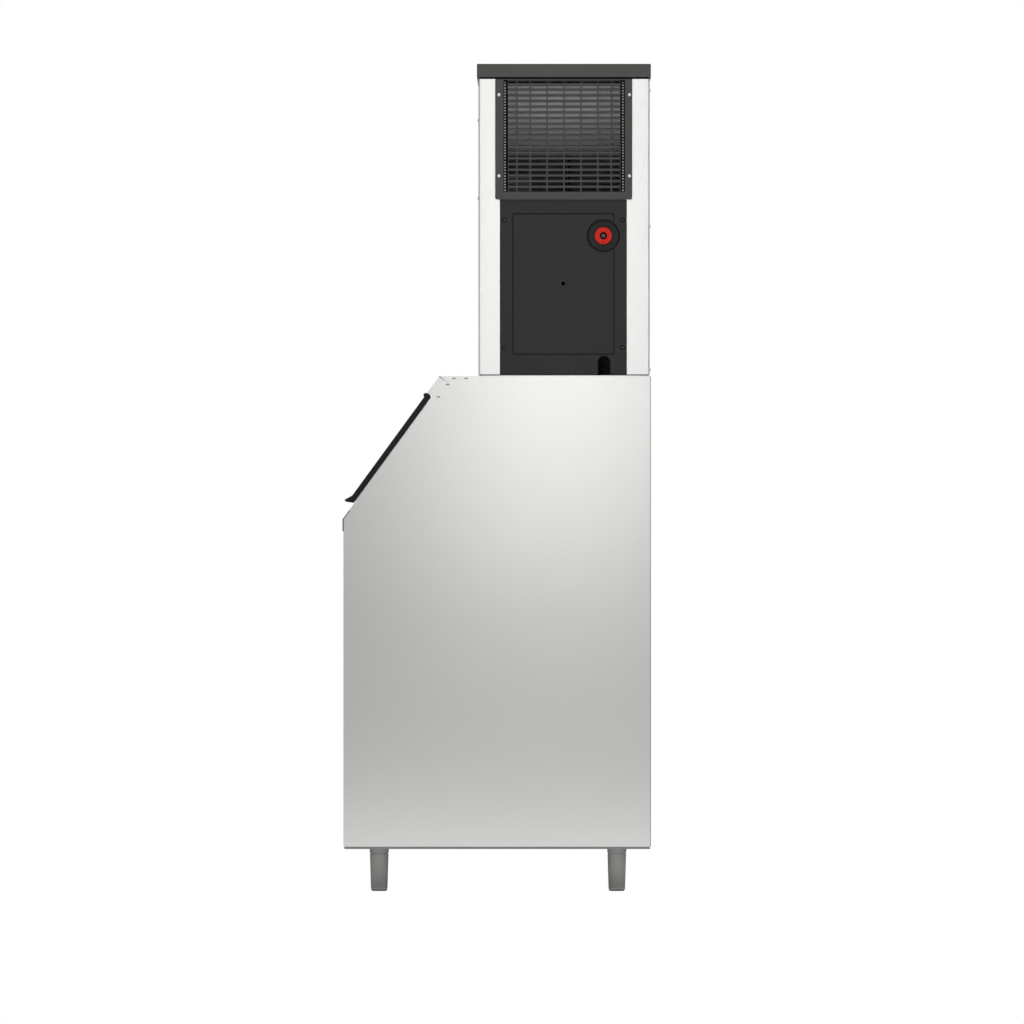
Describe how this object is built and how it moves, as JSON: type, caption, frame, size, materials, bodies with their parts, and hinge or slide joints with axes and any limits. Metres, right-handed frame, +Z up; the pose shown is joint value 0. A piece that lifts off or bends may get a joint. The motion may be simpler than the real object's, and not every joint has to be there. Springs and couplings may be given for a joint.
{
  "type": "modular ice machine",
  "caption": "Modular ice machine: tall narrow head with side air grille, service cover and rotary switch, on an insulated bin with a sloped lift-up door and adjustable legs",
  "frame": {"origin": "on the floor under the middle of the machine", "axes": "+Z up, front towards -Y, the side with the grille and the service cover is +X"},
  "size_m": [0.7633, 0.7864, 2.1094],
  "materials": {
    "stainless": "brushed stainless sheet",
    "head_sheet": "brushed stainless sheet",
    "galvanised": "galvanised steel",
    "lid_plastic": "fine-grained dark grey moulding",
    "grille_plastic": "fine-grained dark grey moulding",
    "cover_plastic": "fine-grained black moulding",
    "door_plastic": "black moulded skin, foam core",
    "trim_plastic": "grey extruded trim",
    "leg_plastic": "grey moulded legs",
    "screw_steel": "bright zinc-plated screws",
    "dark_screw": "blackened screws",
    "red_plastic": "red moulded knob",
    "foam": "rigid foam",
    "liner_plastic": "white moulded liner",
    "rubber": "soft black rubber",
    "black_metal": "black painted steel",
    "aluminium": "bare aluminium fins",
    "copper": "drawn copper",
    "nickel": "nickel-plated copper",
    "white_plastic": "white moulded plastic",
    "hose": "clear-grey hose",
    "brass": "cast brass",
    "black_plastic": "black moulded plastic"
  },
  "bodies": {
    "cabinet": {"bin_base_pan": "black_metal", "bin_side_right": "stainless", "bin_side_left": "stainless", "bin_front_panel": "stainless", "bin_back_panel": "galvanised", "bin_top_panel": "stainless", "bin_hood": "stainless", "bin_insulation": "foam", "bin_liner": "liner_plastic", "door_frame": "liner_plastic", "door_gasket": "rubber", "sill_trim": "trim_plastic", "hinge_brackets": "stainless", "hinge_pins": "screw_steel", "corner_rivets": "screw_steel", "drain_recess": "black_plastic", "bin_drain": "white_plastic", "legs": "leg_plastic", "head_base": "galvanised", "head_side_right": "head_sheet", "head_side_left": "head_sheet", "head_front_panel": "head_sheet", "front_panel_screws": "screw_steel", "head_back_panel": "galvanised", "head_lid": "lid_plastic", "air_grille": "grille_plastic", "grille_screws": "screw_steel", "service_cover": "cover_plastic", "cover_screws": "dark_screw", "cover_rails": "galvanised", "switch_body": "black_plastic", "partition": "black_plastic", "component_shelf": "black_metal", "condenser": "aluminium", "fan_shroud": "black_metal", "fan_motor": "black_metal", "compressor": "black_metal", "compressor_mounts": "rubber", "filter_drier": "copper", "refrigerant_lines": "copper", "control_box": "black_metal", "evaporator_sides": "white_plastic", "evaporator": "nickel", "evaporator_coil": "copper", "water_trough": "white_plastic", "water_pump": "black_plastic", "distributor_tube": "white_plastic", "connection_recess": "black_plastic", "inlet_valve": "brass", "water_hoses": "hose", "head_drain": "white_plastic"},
    "door": {"bin_door": "door_plastic"},
    "curtain": {"water_curtain": "white_plastic"},
    "fan": {"fan_blade": "aluminium"},
    "knob": {"switch_knob": "red_plastic"},
    "front_left_foot": {"foot_front_left": "leg_plastic"},
    "back_left_foot": {"foot_back_left": "leg_plastic"},
    "front_right_foot": {"foot_front_right": "leg_plastic"},
    "back_right_foot": {"foot_back_right": "leg_plastic"}
  },
  "joints": [
    {"name": "door_hinge", "type": "hinge", "parent": "cabinet", "child": "door", "pos_m": [0, -0.18083, 1.26424], "axis": [-1, 0, 0], "range_deg": [0, 150]},
    {"name": "curtain_hinge", "type": "hinge", "parent": "cabinet", "child": "curtain", "pos_m": [-0.195, 0.1705, 2.016], "axis": [-1, 0, 0], "range_deg": [0, 22]},
    {"name": "fan_spin", "type": "hinge", "parent": "cabinet", "child": "fan", "pos_m": [0.278, 0.168, 1.9665], "axis": [1, 0, 0], "continuous": true},
    {"name": "knob_turn", "type": "hinge", "parent": "cabinet", "child": "knob", "pos_m": [0.364, 0.2722, 1.671], "axis": [1, 0, 0], "range_deg": [0, 90]},
    {"name": "front_left_screw", "type": "slide", "parent": "cabinet", "child": "front_left_foot", "axis": [0, 0, -1], "range_m": [0, 0.025]},
    {"name": "back_left_screw", "type": "slide", "parent": "cabinet", "child": "back_left_foot", "axis": [0, 0, -1], "range_m": [0, 0.025]},
    {"name": "front_right_screw", "type": "slide", "parent": "cabinet", "child": "front_right_foot", "axis": [0, 0, -1], "range_m": [0, 0.025]},
    {"name": "back_right_screw", "type": "slide", "parent": "cabinet", "child": "back_right_foot", "axis": [0, 0, -1], "range_m": [0, 0.025]}
  ]
}
